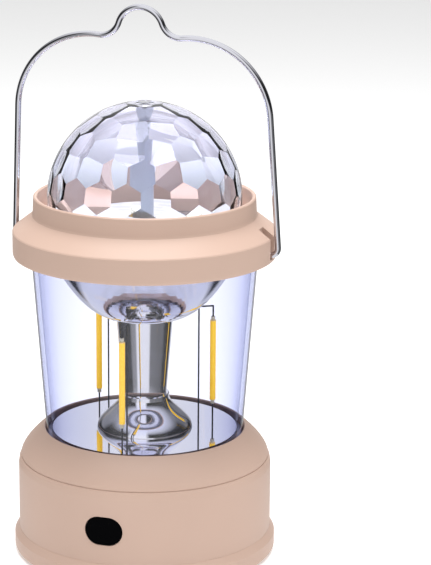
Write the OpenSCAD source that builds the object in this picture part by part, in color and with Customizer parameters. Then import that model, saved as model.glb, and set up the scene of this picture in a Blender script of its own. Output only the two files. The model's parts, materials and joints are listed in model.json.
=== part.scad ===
// Camping lantern: a base with battery and button, a tapered clear window with three
// LED filaments between two bright reflectors, and a cap with a motor-driven crystal dome.
// Millimetres, +Z up, the front (button side) faces -Y, and the lantern stands on z = 0.

/* [Overall] */
// Diameter of the base wall
base_d = 93.6; // [90:0.1:125]
// Height of the base, up to the rim round the window
base_h = 47; // [44:0.5:65]
// Height of window that shows between the base and the cap
window_h = 65; // [56:0.5:90]
// Diameter of the cap's band
cap_d = 96; // [92:0.5:125]
// Height of the cap, from the band's lower edge to the collar's top
cap_h = 22; // [20:0.5:30]

/* [Base] */
// Wall of the base shell
base_wall = 2.2; // [1.6:0.1:3]
// How far the flange at the foot stands out past the wall
flange_out = 1.7; // [0.8:0.1:3]
// Height of the flange
flange_h = 9; // [7:0.5:12]
// Rounding of the flange's lower edge
flange_round = 1.6; // [0.8:0.1:2]
// Thickness of the cover's floor
cover_floor = 2.4; // [2:0.1:3.5]
// How far the cover's collar reaches up inside the shell
cover_collar_h = 4; // [3:0.5:5]
// Depth of the shoulder, from the crease to the rim
shoulder_h = 10.2; // [9:0.2:12]
// Width of the crease between the shell and the shoulder
crease_w = 0.5; // [0.3:0.1:1]
// Width of the foot ring's band
foot_w = 4; // [3:0.5:6]
// How far the foot ring stands below the cover
foot_out = 0.6; // [0.4:0.1:1.2]
// Depth of the foot ring's groove
foot_groove = 1.2; // [0.8:0.1:1.4]

/* [Window] */
// How far the window's top stands in from the band
window_inset = 6.6; // [6:0.1:9]
// How far the window's foot stands in from the base wall
window_foot_inset = 10.55; // [9:0.05:14]
// Wall of the window
window_wall = 2; // [1.5:0.1:3]
// How deep the window's foot sits below the rim
window_seat = 2.8; // [2:0.1:4]
// Thickness of the soft seals
seal_t = 0.8; // [0.5:0.1:1.5]

/* [Reflectors] */
// Diameter of the column at its foot
column_foot_d = 16.2; // [14:0.2:20]
// Diameter of the column at its top
column_top_d = 20.8; // [16:0.2:24]
// Height of the column
column_h = 30; // [24:0.5:40]
// Bore of the column, for the wiring
column_bore_d = 12.4; // [10:0.2:13]
// Height of the bell under the column
bell_h = 12.2; // [11:0.1:16]
// Diameter of the bell at the mirror floor
bell_d = 35.4; // [32:0.2:46]
// Wall of both reflectors
mirror_wall = 1.4; // [1:0.1:2]
// Steepness of the bowl: rise in mm at 1 mm out from the column, growing with the square
bowl_rise = 0.04; // [0.03:0.005:0.045]

/* [Filaments] */
// Number of LED filaments
filament_n = 3; // [2:1:4]
// Distance of the filaments from the middle
filament_r = 25.8; // [23:0.2:28]
// Lit length of one filament
filament_len = 30.7; // [26:0.1:38]
// Diameter of one filament
filament_d = 2.2; // [1.6:0.1:3]
// Height of the filaments above the mirror floor
filament_lift = 8.4; // [6:0.1:12]
// Distance of the return leads from the middle
lead_r = 20.4; // [18.5:0.1:22]
// Diameter of the lead wire
lead_d = 0.6; // [0.5:0.1:1]
// Height of the lead's hook above the filament
hook_rise = 5.4; // [3:0.1:7]

/* [Cap] */
// Wall of the cap ring
cap_wall = 2.4; // [1.8:0.1:3]
// Height of the band
band_h = 9.3; // [8:0.1:12]
// Height of the collar
collar_h = 7.3; // [6:0.1:10]
// How far the collar stands in from the band
collar_inset = 7.7; // [7:0.1:9]
// Wall of the collar
collar_wall = 1.4; // [1:0.1:2]
// Thickness of the cap's floor, under the gears
deck_t = 2; // [1.6:0.1:3]

/* [Dome] */
// Gap between the dome and the collar
dome_gap = 3.5; // [2:0.1:5]
// Wall of the dome
dome_wall = 2.6; // [2:0.1:4]
// How far the middle of the dome's ball lies below the collar's top
dome_drop = 1.3; // [0:0.1:3]
// Diameter of the boss at the dome's top
dome_boss_d = 6.8; // [6:0.1:9]
// Diameter of the drive shaft
shaft_d = 5.9; // [5:0.1:6.4]
// Diameter of the drive shaft above the light board, where it shows
stem_d = 7.2; // [6:0.1:9]
// Diameter of the drive shaft's upper end
shaft_tip_d = 6.6; // [4:0.1:6.8]
// Length of the thinner upper end
shaft_tip_h = 10.2; // [6:0.2:14]

/* [Gears] */
// Tooth size: pitch diameter over the number of teeth
gear_module = 0.6; // [0.5:0.05:0.65]
// Teeth on the motor's pinion and on the small half of the double gear
pinion_teeth = 14; // [12:1:15]
// Teeth on the large half of the double gear and on the output gear
wheel_teeth = 42; // [36:1:42]
// Pressure angle of the teeth
pressure_angle = 25; // [20:1:25]
// Play between meshing teeth
backlash = 0.16; // [0.1:0.02:0.3]
// Width of the wheels
gear_w = 2.4; // [2:0.1:2.6]
// Direction of the double gear from the middle
idler_turn = 30; // [0:5:90]

/* [Bail] */
// Diameter of the handle wire
wire_d = 2.2; // [1.8:0.1:2.6]
// Height of the handle's pivots above the band's lower edge
pivot_lift = 3; // [2.8:0.1:4]
// Height of the handle's top above the pivots, at the wire's middle
bail_h = 87.6; // [80:0.2:110]
// How far the handle's legs stand out past the band where they leave the pockets
leg_gap = 2.1; // [1.6:0.1:4]
// How much each leg leans inwards, in degrees
leg_lean = 3.3; // [0:0.1:4]
// Radius of the handle's shoulders
bail_shoulder_r = 28.9; // [20:0.1:32]
// Radius of the finger loop at the handle's top
loop_r = 8.5; // [6:0.1:12]
// Radius of the dips beside the finger loop
dip_r = 7; // [5:0.1:10]
// Height of the finger loop above the handle's shoulders
loop_rise = 10.4; // [8:0.1:12]
// Radius of the bends above the pivots
heel_r = 2.8; // [2.4:0.1:4]
// How far the handle leans towards the front when it stands up, in degrees
bail_lean = 3.5; // [0:0.5:6]
// Width of the pockets in the cap for the handle's ends
pocket_w = 5; // [4:0.1:7]

/* [Button and port] */
// Width of the power button
button_w = 13.4; // [12:0.1:17]
// Height of the power button
button_tall = 9.9; // [8:0.1:12]
// Height of the button's and the port's middle
button_z = 21.4; // [19:0.1:24]
// How far the button stands out of the wall
button_out = 0.3; // [0:0.1:1]
// How far the button travels
button_travel = 0.8; // [0.4:0.1:1]
// Width of the flap over the charging port
flap_w = 15; // [13:0.1:18]
// Height of the flap
flap_tall = 8.4; // [7:0.1:9]
// Thickness of the flap
flap_t = 1.2; // [1:0.1:1.4]

/* [Inside parts] */
// Diameter of the cell
cell_d = 18.4; // [16:0.1:19]
// Length of the cell
cell_len = 65; // [50:0.5:66]
// Thickness of the circuit boards
board_t = 1.6; // [1:0.1:2]
// Diameter of the motor
motor_d = 16; // [12:0.2:16]
// Length of the motor
motor_len = 16.6; // [12:0.2:17]
// Diameter of the screws' shanks
screw_d = 2.4; // [2:0.1:2.6]

/* [Hidden] */
$fn = 96;

// Clearances: between neighbours, of a running fit (radial) and of parts that slide together
clear = 0.3;
run = 0.06;
snug = 0.1;
eps = 0.01;

// Heights
z_rim = base_h;
z_crease = z_rim - shoulder_h;
z_cap = z_rim + window_h;
z_band = z_cap + band_h;
z_collar = z_cap + cap_h;
z_shoulder = z_collar - collar_h;
z_cover = foot_out + cover_floor;
z_pivot = z_cap + pivot_lift;
z_ball = z_collar - dome_drop;

// Base
base_r = base_d / 2;
shell_r = base_r - base_wall;
flange_r = base_r + flange_out;
flange_slope = 2.5;
crease_round = 1.5;
collar_t = 2;
boss_d = 7;
boss_r = shell_r - 7.1;
boss_turns = [45, 135, 225, 315];
head_d = 2 * screw_d;
head_h = 1.4;
pilot = 0.05;
shell_lip = 1.8;
lip_r = shell_r - 6.6;
foot_r = base_r - 1.6;

// Window: a straight cone between its foot and its top
z_foot = z_rim - window_seat;
z_head = z_cap + 0.9;
foot_win_r = base_r - window_foot_inset;
head_win_r = cap_d / 2 - window_inset;
function window_r(z) = foot_win_r + (head_win_r - foot_win_r) * (z - z_foot) / (z_head - z_foot);
seat_z = z_foot - seal_t;
seat_t = 1.6;
seat_in_r = foot_win_r - window_wall - 3.4;
rim_r = window_r(z_rim) + clear;
rim_lip = 1;

// Mirror floor, bell, column and bowl
z_floor = z_rim - 0.6;
floor_r = window_r(z_floor) - window_wall - clear;
floor_t = 1.2;
z_column = z_floor + bell_h;
z_bowl = z_column + column_h;
neck_r = column_foot_d / 2;
bell_top_r = neck_r + 0.9;
spigot_wall = 0.8;
spigot_h = 3.4;
ferrule_out = 1;
ferrule_h = 1;
fil_board_r = seat_in_r - clear;
filament_turns = [for (k = [0 : filament_n - 1]) 360 * k / filament_n - 90];
z_deck = z_head + seal_t - 0.1;
deck_top = z_deck + deck_t;
flange_in_t = 1.5;
bowl_out_r = min(column_top_d / 2 + sqrt((z_deck - flange_in_t - z_bowl) / bowl_rise), head_win_r - 4);
bowl_edge_r = head_win_r - window_wall - clear - 0.4;
bowl_steps = 24;

// Cap
cap_r = cap_d / 2;
band_in_r = cap_r - cap_wall;
collar_r = cap_r - collar_inset;
collar_in_r = collar_r - collar_wall;
collar_foot_r = collar_r + 0.3;
dome_r = collar_in_r - dome_gap;
plate_r = band_in_r - 0.2;
plate_z = z_cap + 0.2;
plate_t = z_deck - plate_z - 0.1;
groove_r = head_win_r + clear;
deck_r = groove_r + 0.9;
pocket_r = head_win_r + 2.2;
ear_in_r = head_win_r + 0.2;
ear_w = pocket_w + 6;
shelf_t = 1.6;
shelf_w = 7;
shelf_z = z_shoulder - 2.1;
cap_screw_r = (groove_r + plate_r) / 2;
cap_screw_turns = [35, 145, 215, 325];
cap_boss_r = 1.8;
cap_head_r = 1.6;
cap_head_h = 0.7;
bowl_screw_turns = [90, 210, 330];
bowl_screw_r = bowl_out_r - 1.6;

// Gears
mesh_r = gear_module * (pinion_teeth + wheel_teeth) / 2;
motor_turn = idler_turn + 67;
motor_r = 2 * mesh_r * cos(67);
idler_x = mesh_r * cos(idler_turn);
idler_y = mesh_r * sin(idler_turn);
motor_x = motor_r * cos(motor_turn);
motor_y = motor_r * sin(motor_turn);
pair_turn = atan2(motor_y - idler_y, motor_x - idler_x);
addendum = 0.85;
dedendum = 1.15;
low_z = deck_top + 0.5;
high_z = low_z + gear_w + 0.6;
cover_z = high_z + gear_w + 0.6;
cover_t = 1.6;
gear_cover_r = mesh_r + gear_module * wheel_teeth / 2 + 1.2;
leg_d = 5;
leg_r = gear_cover_r - 5.1;
leg_turns = [for (t = [42, 130, 230, 318]) idler_turn + t];
pin_d = 2;
motor_head_r = 1.3;
motor_head_h = 1.1;
journal_d = 3;
bush_t = 1.5;
rgb_z = cover_z + cover_t;
rgb_t = 1.4;
rgb_in_r = shaft_d / 2 + bush_t + 0.8;
led_r = 18;
led_n = 6;
led_size = 5;
led_h = 1.6;
wire_turn = 245;
wire_r = gear_module * wheel_teeth / 2 + 6;

// Shaft and dome
dome_low_z = shelf_z + shelf_t + 1;
shaft_top_z = z_ball + dome_r - 3.8;
boss_top_z = z_ball + dome_r;
stem_z = rgb_z + rgb_t + 0.8;
dome_screw_d = 2;
dome_screw_len = 7;

// Bail: tangent arcs, measured out from the middle and up from the pivots
loop_top = bail_h;
loop_mid = [0, loop_top - loop_r];
shoulder_top = loop_top - loop_rise;
leg_x = cap_r + leg_gap;
bend_y = heel_r;
shoulder_y = shoulder_top - bail_shoulder_r;
shoulder_x = leg_x - (shoulder_y - bend_y) * tan(leg_lean) - bail_shoulder_r / cos(leg_lean);
shoulder_mid = [shoulder_x, shoulder_y];
heel_x = leg_x - heel_r / cos(leg_lean);
// The dip's middle lies where both neighbours' radii plus its own meet
dip_gap = norm(shoulder_mid - loop_mid);
dip_turn = atan2(shoulder_mid[1] - loop_mid[1], shoulder_mid[0] - loop_mid[0]);
reach_a = loop_r + dip_r;
reach_b = bail_shoulder_r + dip_r;
dip_angle = acos((reach_a * reach_a + dip_gap * dip_gap - reach_b * reach_b) / (2 * reach_a * dip_gap));
dip_mid = loop_mid + reach_a * [cos(dip_turn + dip_angle), sin(dip_turn + dip_angle)];
loop_end = atan2(dip_mid[1] - loop_mid[1], dip_mid[0] - loop_mid[0]);
shoulder_end = atan2(dip_mid[1] - shoulder_mid[1], dip_mid[0] - shoulder_mid[0]);
dip_in_x = shoulder_mid[0] + bail_shoulder_r * cos(shoulder_end) - eps;
loop_in_x = loop_mid[0] + loop_r * cos(loop_end) - eps;

// Button and port
button_inset = 0.35;
button_lip = 1.4;
button_lip_t = 1.2;
switch_y = -(shell_r - 8);
switch_size = 6;
switch_h = 3.4;
plunger_d = 3.4;
plunger_out = 1.2;
// Wide enough for the rails beside it to clear the button's lip
board_w = max(18, button_w + 2 * button_lip + 1);
board_tall = 25;
rail_t = 2;
rail_x = board_w / 2 + clear;
pad_w = flap_w + 7;
pad_tall = flap_tall + 6;
pad_in = 1.4;
flap_y = base_r - 0.3;
recess_y = flap_y - flap_t - 0.1;
port_w = 8.9;
port_tall = 3.2;
port_deep = 7.3;
hinge_z = button_z - flap_tall / 2 - 0.3;

// Battery and boards
cradle_t = 1.6;
cell_z = z_cover + cradle_t + clear + cell_d / 2;
cradle_w = cell_d + 3.6;
contact_t = 0.6;
wall_x = cell_len / 2 + 2;
wall_t = 3.8;
main_z = cell_z + cell_d / 2 + 1;
main_w = 2 * (wall_x + wall_t) ;
main_deep = 26;
plug_w = 8;
plug_h = 5;

// A tube-shaped ring between two radii and two heights
module ring(r_in, r_out, z_low, z_high)
    rotate_extrude() translate([r_in, z_low]) square([r_out - r_in, z_high - z_low]);

// A disc or cylinder from one height to another
module disc(r, z_low, z_high) translate([0, 0, z_low]) cylinder(r = r, h = z_high - z_low);

// A box from one corner to the other
module block(low, high) translate(low) cube(high - low);

// Puts the children at each of these turns, out from the middle
module around(turns, r) for (t = turns) rotate(t) translate([r, 0, 0]) children();

// A pan-head screw that points down: head above z_seat, shank below it
module pan_screw(z_seat, len, d = screw_d) {
    disc(d, z_seat, z_seat + head_h);
    disc(d / 2, z_seat - len, z_seat + eps);
}

// An oval prism along Y, centred on the button's height
module oval_y(w, tall, y_low, y_high) {
    run_x = (w - tall) / 2;
    translate([0, y_high, button_z]) rotate([90, 0, 0]) linear_extrude(y_high - y_low) union() {
        square([2 * run_x, tall], center = true);
        for (s = [-1, 1]) translate([s * run_x, 0]) circle(d = tall);
    }
}

// A length of round wire through these points, with round corners
module round_wire(points, d) {
    for (i = [0 : len(points) - 2]) {
        step = points[i + 1] - points[i];
        translate(points[i])
            rotate([0, acos(step[2] / norm(step)), atan2(step[1], step[0])])
                cylinder(d = d, h = norm(step), $fn = 24);
    }
    for (i = [1 : 1 : len(points) - 2]) translate(points[i]) sphere(d = d, $fn = 24);
}

// An involute spur gear with a tooth centred on the given turn
function involute(rb, r) = let (a = acos(min(1, rb / r))) 180 / PI * tan(a) - a;
function flank_turn(n, rb, r) =
    90 / n - 90 * backlash / (PI * gear_module * n / 2) + involute(rb, gear_module * n / 2) - involute(rb, r);
module gear(n, w, turn, z) {
    pitch = gear_module * n / 2;
    rb = pitch * cos(pressure_angle);
    root = pitch - dedendum * gear_module;
    tip = pitch + addendum * gear_module;
    steps = [for (i = [0 : 3]) max(rb, root) + (tip - max(rb, root)) * i / 3];
    flank = concat([root], steps);
    translate([0, 0, z]) rotate(turn) linear_extrude(w) polygon([
        for (k = [0 : n - 1], side = [-1, 1], i = [0 : 4])
            let (r = flank[side < 0 ? i : 4 - i], a = 360 * k / n + side * flank_turn(n, rb, max(r, rb)))
            [r * cos(a), r * sin(a)]
    ]);
}

// ---- Base ----

module base_shell() color("tan") {
    hole_r = screw_d / 2 - pilot;
    difference() {
        union() {
            rotate_extrude() polygon([
                [shell_r, flange_h], [base_r, flange_h], [base_r, z_crease - crease_round - 2],
                [base_r - 0.3, z_crease - crease_round], [base_r - 0.9, z_crease - crease_w],
                [lip_r, z_crease - crease_w], [lip_r, z_crease - crease_w - shell_lip],
                [shell_r, z_crease - crease_w - shell_lip]
            ]);
            around(boss_turns, boss_r) {
                disc(boss_d / 2, z_cover, z_crease - crease_w - eps);
                block([0, -boss_d / 6, flange_h + cover_collar_h + clear],
                      [shell_r - boss_r + 0.5, boss_d / 6, z_crease - crease_w - eps]);
            }
            for (s = [0, 1]) mirror([s, 0, 0])
                block([rail_x, -shell_r + 1, flange_h + cover_collar_h + clear],
                      [rail_x + rail_t, switch_y + board_t, z_crease - crease_w - eps]);
            intersection() {
                block([-pad_w / 2, recess_y - pad_in, button_z - pad_tall / 2 + 0.6],
                      [pad_w / 2, base_r, button_z + pad_tall / 2]);
                disc(base_r - 0.5, flange_h, z_crease);
            }
        }
        around(boss_turns, boss_r) {
            disc(hole_r, z_cover - eps, z_cover + 12);
            disc(hole_r, z_crease - crease_w - 8, z_crease + eps);
        }
        oval_y(button_w + 2 * button_inset, button_tall + 2 * button_inset, -base_r - 1, -shell_r + 3);
        block([-flap_w / 2 - clear, recess_y, hinge_z - clear - 0.6],
              [flap_w / 2 + clear, base_r + 1, button_z + flap_tall / 2 + 0.4]);
        block([-port_w / 2 - clear, recess_y - pad_in - 1, button_z - port_tall / 2 - clear],
              [port_w / 2 + clear, recess_y + 1, button_z + port_tall / 2 + 0.7]);
    }
}

module base_cover() color("tan") {
    round_n = 6;
    corner = [flange_r - flange_round, foot_out + flange_round];
    lip_out = shell_r - clear;
    difference() {
        union() {
            rotate_extrude() polygon(concat(
                [[0, foot_out], [corner[0], foot_out]],
                [for (i = [1 : round_n]) let (t = 90 * i / round_n)
                    corner + flange_round * [sin(t), -cos(t)]],
                [[flange_r, flange_h - flange_slope], [base_r + 0.1, flange_h], [lip_out, flange_h],
                 [lip_out, flange_h + cover_collar_h], [lip_out - collar_t, flange_h + cover_collar_h],
                 [lip_out - collar_t, z_cover], [0, z_cover]]
            ));
            for (s = [-1, 1]) translate([s * 6, shell_r - 10.6, 0])
                disc(2, z_cover - eps, button_z - port_tall / 2 - board_t);
        }
        ring(foot_r - foot_w - snug, foot_r + snug, foot_out - 1, foot_out + foot_groove);
        around(boss_turns, boss_r) {
            disc(screw_d / 2 + snug, 0, z_cover + 1);
            disc(head_d / 2 + 0.2, 0, foot_out + head_h);
        }
    }
}

module foot_ring() color("dimgray") ring(foot_r - foot_w, foot_r, 0, foot_out + foot_groove);

module base_screws() color("silver") around(boss_turns, boss_r) {
    disc(head_d / 2, foot_out + snug, foot_out + head_h);
    disc(screw_d / 2 - pilot, foot_out + head_h - eps, z_cover + 9);
}

module shoulder_ring() color("tan") {
    out = base_r - 0.9;
    span = out - rim_r - rim_lip;
    lean_n = 9;
    ledge_z = seat_z - seat_t;
    difference() {
        union() {
            rotate_extrude() polygon(concat(
                [[lip_r, z_crease], [out, z_crease]],
                // A soft curve from the crease to the rim: inwards with the height to the power 1.5
                [for (i = [1 : lean_n]) let (u = i / lean_n)
                    [out - span * pow(u, 1.5), z_crease + (shoulder_h - 0.25) * u]],
                [[rim_r + rim_lip - 0.3, z_rim], [rim_r + 0.3, z_rim], [rim_r, z_rim - 0.4],
                 [rim_r, seat_z], [seat_in_r, seat_z], [seat_in_r, ledge_z],
                 [rim_r + 1.2, ledge_z], [lip_r + 2, z_crease + 2.2], [lip_r, z_crease + 2.2]]
            ));
            around(boss_turns, boss_r) intersection() {
                disc(boss_d / 2 - 0.5, z_crease, seat_z);
                translate([-boss_r, 0, z_crease]) cylinder(r1 = out - 1, r2 = rim_r - 1, h = shoulder_h);
            }
        }
        around(boss_turns, boss_r) disc(screw_d / 2 - pilot, z_crease - 1, z_crease + 3.6);
    }
}

// Headless screws that join the shell and the shoulder ring
module shoulder_screws() color("silver") around(boss_turns, boss_r)
    disc(screw_d / 2 - 2 * pilot, z_crease - 6, z_crease + 3.2);

module power_button() color("dimgray") {
    face_r = base_r + button_out;
    stem_y = switch_y - switch_h - plunger_out;
    lip_y = -(shell_r - clear);
    difference() {
        union() {
            intersection() {
                oval_y(button_w, button_tall, -face_r - 1, lip_y + 4);
                disc(face_r, button_z - button_tall, button_z + button_tall);
            }
            intersection() {
                oval_y(button_w + 2 * button_lip, button_tall + 2 * button_lip, -shell_r, lip_y + 4);
                disc(shell_r - clear, button_z - button_tall, button_z + button_tall);
            }
        }
        block([-button_w, -shell_r + clear + button_lip_t + 1.1, 0], [button_w, 0, 2 * button_z]);
    }
    translate([0, stem_y, button_z]) rotate([90, 0, 0])
        cylinder(d = plunger_d + 1, h = -stem_y - (shell_r - clear - 1.5));
}

module switch_plunger() color("black")
    translate([0, switch_y - 1.5, button_z]) rotate([90, 0, 0])
        cylinder(d = plunger_d, h = switch_h - 1.5 + plunger_out);

module switch_body() color("silver") difference() {
    block([-switch_size / 2, switch_y - switch_h, button_z - switch_size / 2],
          [switch_size / 2, switch_y, button_z + switch_size / 2]);
    translate([0, switch_y - 0.6, button_z]) rotate([90, 0, 0])
        cylinder(d = plunger_d + 2 * run, h = switch_h);
}

module button_board() color("darkgreen")
    block([-board_w / 2, switch_y, button_z - board_tall / 2],
          [board_w / 2, switch_y + board_t, button_z + board_tall / 2]);

module battery() color("steelblue") translate([-cell_len / 2, 0, cell_z]) rotate([0, 90, 0]) {
    cylinder(d = cell_d, h = cell_len - 1);
    cylinder(d = cell_d / 3, h = cell_len);
}

module battery_cradle() color("dimgray") {
    difference() {
        union() {
            block([-wall_x - wall_t, -cradle_w / 2, z_cover],
                  [wall_x + wall_t, cradle_w / 2, z_cover + cradle_t]);
            for (s = [0, 180]) rotate(s)
                block([wall_x, -cradle_w / 2, z_cover], [wall_x + wall_t, cradle_w / 2, main_z]);
            for (s = [-1, 1]) block([-wall_x, s > 0 ? cell_d / 2 + clear : -cradle_w / 2, z_cover],
                [wall_x, s > 0 ? cradle_w / 2 : -cell_d / 2 - clear, cell_z]);
        }
        for (s = [-1, 1]) translate([s * (wall_x + wall_t / 2), 0, 0]) disc(0.8, main_z - 6, main_z + 1);
    }
}

// Two bent leaf contacts, one at each end of the cell
module battery_contacts() color("silver") for (s = [0, 180]) rotate(s) {
    block([wall_x - contact_t, -4, cell_z - 6], [wall_x, 4, main_z]);
    block([cell_len / 2 + 0.1, -3, cell_z - 2], [cell_len / 2 + 0.1 + contact_t, 3, cell_z + 2]);
    block([cell_len / 2 + 0.1, -3, cell_z - 2], [wall_x, 3, cell_z - 2 + contact_t]);
}

module main_board() color("darkgreen") difference() {
    block([-main_w / 2, -main_deep / 2, main_z], [main_w / 2, main_deep / 2, main_z + board_t]);
    for (s = [-1, 1]) translate([s * (wall_x + wall_t / 2), 0, 0]) disc(1, main_z - 1, main_z + board_t + 1);
}

module board_parts() color("black") {
    top = main_z + board_t;
    block([-plug_w / 2, -3, top], [plug_w / 2, 3, top + plug_h]);
    block([-20, -9, top], [-14, -3, top + 1]);
    block([12, 2, top], [19, 9, top + 3.4]);
    translate([15, -6, 0]) disc(3.2, top, top + 6.5);
    translate([-24, 6, 0]) disc(2.6, top, top + 5);
    for (i = [0 : 3]) block([-12 + 2.6 * i, 8, top], [-10.6 + 2.6 * i, 9, top + 0.7]);
}

module board_screws() color("silver") for (s = [-1, 1])
    translate([s * (wall_x + wall_t / 2), 0, 0]) {
        disc(1.7, main_z + board_t, main_z + board_t + 1.2);
        disc(0.75, main_z - 5, main_z + board_t + eps);
    }

module charge_board() color("darkgreen")
    block([-board_w / 2, shell_r - 14, button_z - port_tall / 2 - board_t],
          [board_w / 2, shell_r - 2.8, button_z - port_tall / 2]);

module usb_port() color("silver") difference() {
    mouth_y = recess_y - pad_in + 0.6;
    oval_y(port_w, port_tall, mouth_y - port_deep, mouth_y);
    oval_y(port_w - 0.8, port_tall - 0.8, mouth_y - port_deep + 1.2, mouth_y + 1);
}

module port_cover() color("dimgray") {
    half = flap_w / 2;
    block([-half, flap_y - flap_t, hinge_z + clear], [half, flap_y, button_z + flap_tall / 2]);
    block([-port_w / 2 + 0.6, recess_y - pad_in + 0.9, button_z - port_tall / 2 + 0.5],
          [port_w / 2 - 0.6, flap_y - flap_t + eps, button_z + port_tall / 2 - 0.4]);
}

module wiring() color("firebrick") {
    start = main_z + board_t + plug_h;
    out = [cos(wire_turn), sin(wire_turn), 0];
    side = [-sin(wire_turn), cos(wire_turn), 0];
    for (i = [-1.5 : 1 : 1.5]) round_wire([
        1.6 * i * side + [0, 0, start],
        1.6 * i * side + [0, 0, z_bowl + 6],
        1.6 * i * side + wire_r * out + [0, 0, z_deck - 4],
        1.6 * i * side + wire_r * out + [0, 0, rgb_z]
    ], 1.2);
}

// ---- Window, reflectors and filaments ----

module window() color("lavender", 0.4) rotate_extrude() polygon([
    [foot_win_r - window_wall, z_foot], [foot_win_r, z_foot],
    [head_win_r, z_head], [head_win_r - window_wall, z_head]
]);

module lower_seal() color("gray") ring(foot_win_r - window_wall + 0.1, foot_win_r, seat_z, z_foot);

module upper_seal() color("gray") ring(head_win_r - window_wall + 0.1, head_win_r - 0.1, z_head, z_deck);

// Half-outline of the bell: swells smoothly from the neck and ends upright at the floor
function bell_r(u) = bell_top_r + (bell_d / 2 - bell_top_r) * u * u * (3 - 2 * u);
function bell_z(u) = z_column - bell_h * u;

module lower_reflector() color("silver") {
    bell_n = 14;
    skirt_r = foot_win_r - window_wall - clear;
    difference() {
        rotate_extrude() polygon(concat(
            [[column_bore_d / 2, z_floor - floor_t], [column_bore_d / 2, z_column - spigot_h],
             [column_bore_d / 2 + spigot_wall + snug, z_column - spigot_h],
             [column_bore_d / 2 + spigot_wall + snug, z_column]],
            [for (i = [0 : bell_n]) [bell_r(i / bell_n), bell_z(i / bell_n)]],
            [[floor_r, z_floor], [skirt_r, seat_z], [skirt_r - mirror_wall, seat_z],
             [skirt_r - mirror_wall, z_floor - floor_t]]
        ));
        lead_holes();
    }
}

// The holes that the filament leads pass through
module lead_holes() around(filament_turns, 0)
    for (r = [lead_r, filament_r]) translate([r, 0, 0])
        disc(lead_d / 2 + 0.2, z_floor - floor_t - board_t - 3, z_floor + 2);

module filament_board() color("darkgreen") difference() {
    disc(fil_board_r, z_floor - floor_t - board_t, z_floor - floor_t);
    disc(column_bore_d / 2, 0, z_floor);
    lead_holes();
}

module filaments() color("gold") {
    low = z_floor + filament_lift;
    around(filament_turns, filament_r) {
        disc(filament_d / 2, low, low + filament_len);
        for (z = [low - 1.4, low + filament_len]) disc(filament_d / 2 - 0.35, z, z + 1.4);
    }
}

module filament_leads() color("dimgray") {
    low = z_floor - floor_t - board_t;
    fil_low = z_floor + filament_lift - 1.4;
    fil_top = z_floor + filament_lift + filament_len + 1.4;
    hook_z = z_floor + filament_lift + filament_len + hook_rise;
    around(filament_turns, 0) {
        round_wire([[filament_r, 0, low], [filament_r, 0, fil_low]], lead_d);
        round_wire([[lead_r, 0, low], [lead_r, 0, hook_z], [filament_r, 0, hook_z], [filament_r, 0, fil_top]],
                   lead_d);
    }
}

module column() color("silver") {
    bore_r = column_bore_d / 2 - spigot_wall;
    spigot_r = column_bore_d / 2 + spigot_wall;
    ring_r = neck_r + ferrule_out;
    rotate_extrude() polygon([
        [bore_r, z_column - spigot_h + 0.2], [spigot_r, z_column - spigot_h + 0.2],
        [spigot_r, z_column + eps], [ring_r, z_column + eps],
        [ring_r, z_column + ferrule_h - 0.3], [ring_r - 0.3, z_column + ferrule_h],
        [neck_r, z_column + ferrule_h], [column_top_d / 2, z_bowl],
        [spigot_r, z_bowl], [spigot_r, z_bowl + spigot_h - 0.2], [bore_r, z_bowl + spigot_h - 0.2]
    ]);
}

// Height of the bowl's outer face at a distance from the middle
function bowl_z(r) = z_bowl + bowl_rise * pow(max(0, r - column_top_d / 2), 2);

module upper_reflector() color("silver") {
    top_r = column_top_d / 2;
    hole_r = column_bore_d / 2 + spigot_wall + snug;
    radii = [for (i = [0 : bowl_steps]) top_r + (bowl_out_r - top_r) * i / bowl_steps];
    difference() {
        union() {
            rotate_extrude() polygon(concat(
                [[hole_r, z_bowl]],
                [for (r = radii) [r, bowl_z(r)]],
                [[bowl_out_r, z_deck - flange_in_t], [bowl_edge_r, z_deck - flange_in_t],
                 [bowl_edge_r, z_deck], [bowl_out_r - mirror_wall, z_deck]],
                [for (i = [bowl_steps : -1 : 0])
                    [max(hole_r, radii[i] - mirror_wall), bowl_z(radii[i]) + mirror_wall]],
                [[hole_r, z_bowl + mirror_wall]]
            ));
            intersection() {
                around(bowl_screw_turns, bowl_screw_r) disc(2.4, z_bowl, z_deck);
                rotate_extrude() polygon(concat(
                    [for (r = radii) [r, bowl_z(r) + mirror_wall / 2]],
                    [[bowl_out_r, z_deck], [top_r, z_deck]]
                ));
            }
        }
        around(bowl_screw_turns, bowl_screw_r) disc(0.85, z_deck - 4.4, z_deck + 1);
    }
}

// ---- Cap ----

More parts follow.
